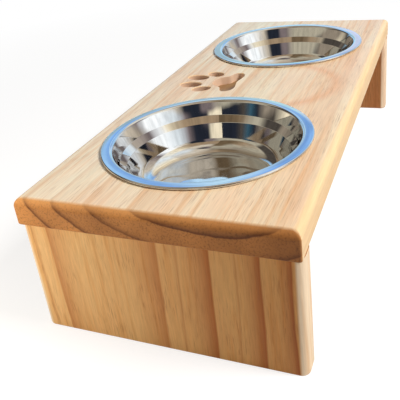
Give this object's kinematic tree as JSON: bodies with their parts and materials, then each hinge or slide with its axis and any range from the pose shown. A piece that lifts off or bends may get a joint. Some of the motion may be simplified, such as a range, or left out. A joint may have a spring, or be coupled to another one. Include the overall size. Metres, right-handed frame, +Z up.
{
  "type": "elevated dog feeder",
  "caption": "Raised wooden pet feeder: a plank on end legs, with steel bowls that lift out of round holes and a routed paw print between them.",
  "frame": {"origin": "on the floor, below the middle of the top board", "axes": "+X along the board from the left bowl to the right bowl, +Y across it to the back, where the paw print lies, +Z up"},
  "size_m": [0.44, 0.184, 0.1042],
  "materials": {
    "pine": "clear satin oil",
    "polished_steel": "mirror polished",
    "beech": "unfinished"
  },
  "bodies": {
    "stand": {"top_board": "pine", "left_leg": "pine", "right_leg": "pine", "dowel_left_front": "beech", "dowel_left_middle": "beech", "dowel_left_back": "beech", "dowel_right_front": "beech", "dowel_right_middle": "beech", "dowel_right_back": "beech"},
    "left_bowl": {"left_bowl": "polished_steel"},
    "right_bowl": {"right_bowl": "polished_steel"}
  },
  "joints": [
    {"name": "left_bowl_lift", "type": "slide", "parent": "stand", "child": "left_bowl", "axis": [0, 0, 1], "range_m": [0, 0.06]},
    {"name": "right_bowl_lift", "type": "slide", "parent": "stand", "child": "right_bowl", "axis": [0, 0, 1], "range_m": [0, 0.06]}
  ]
}
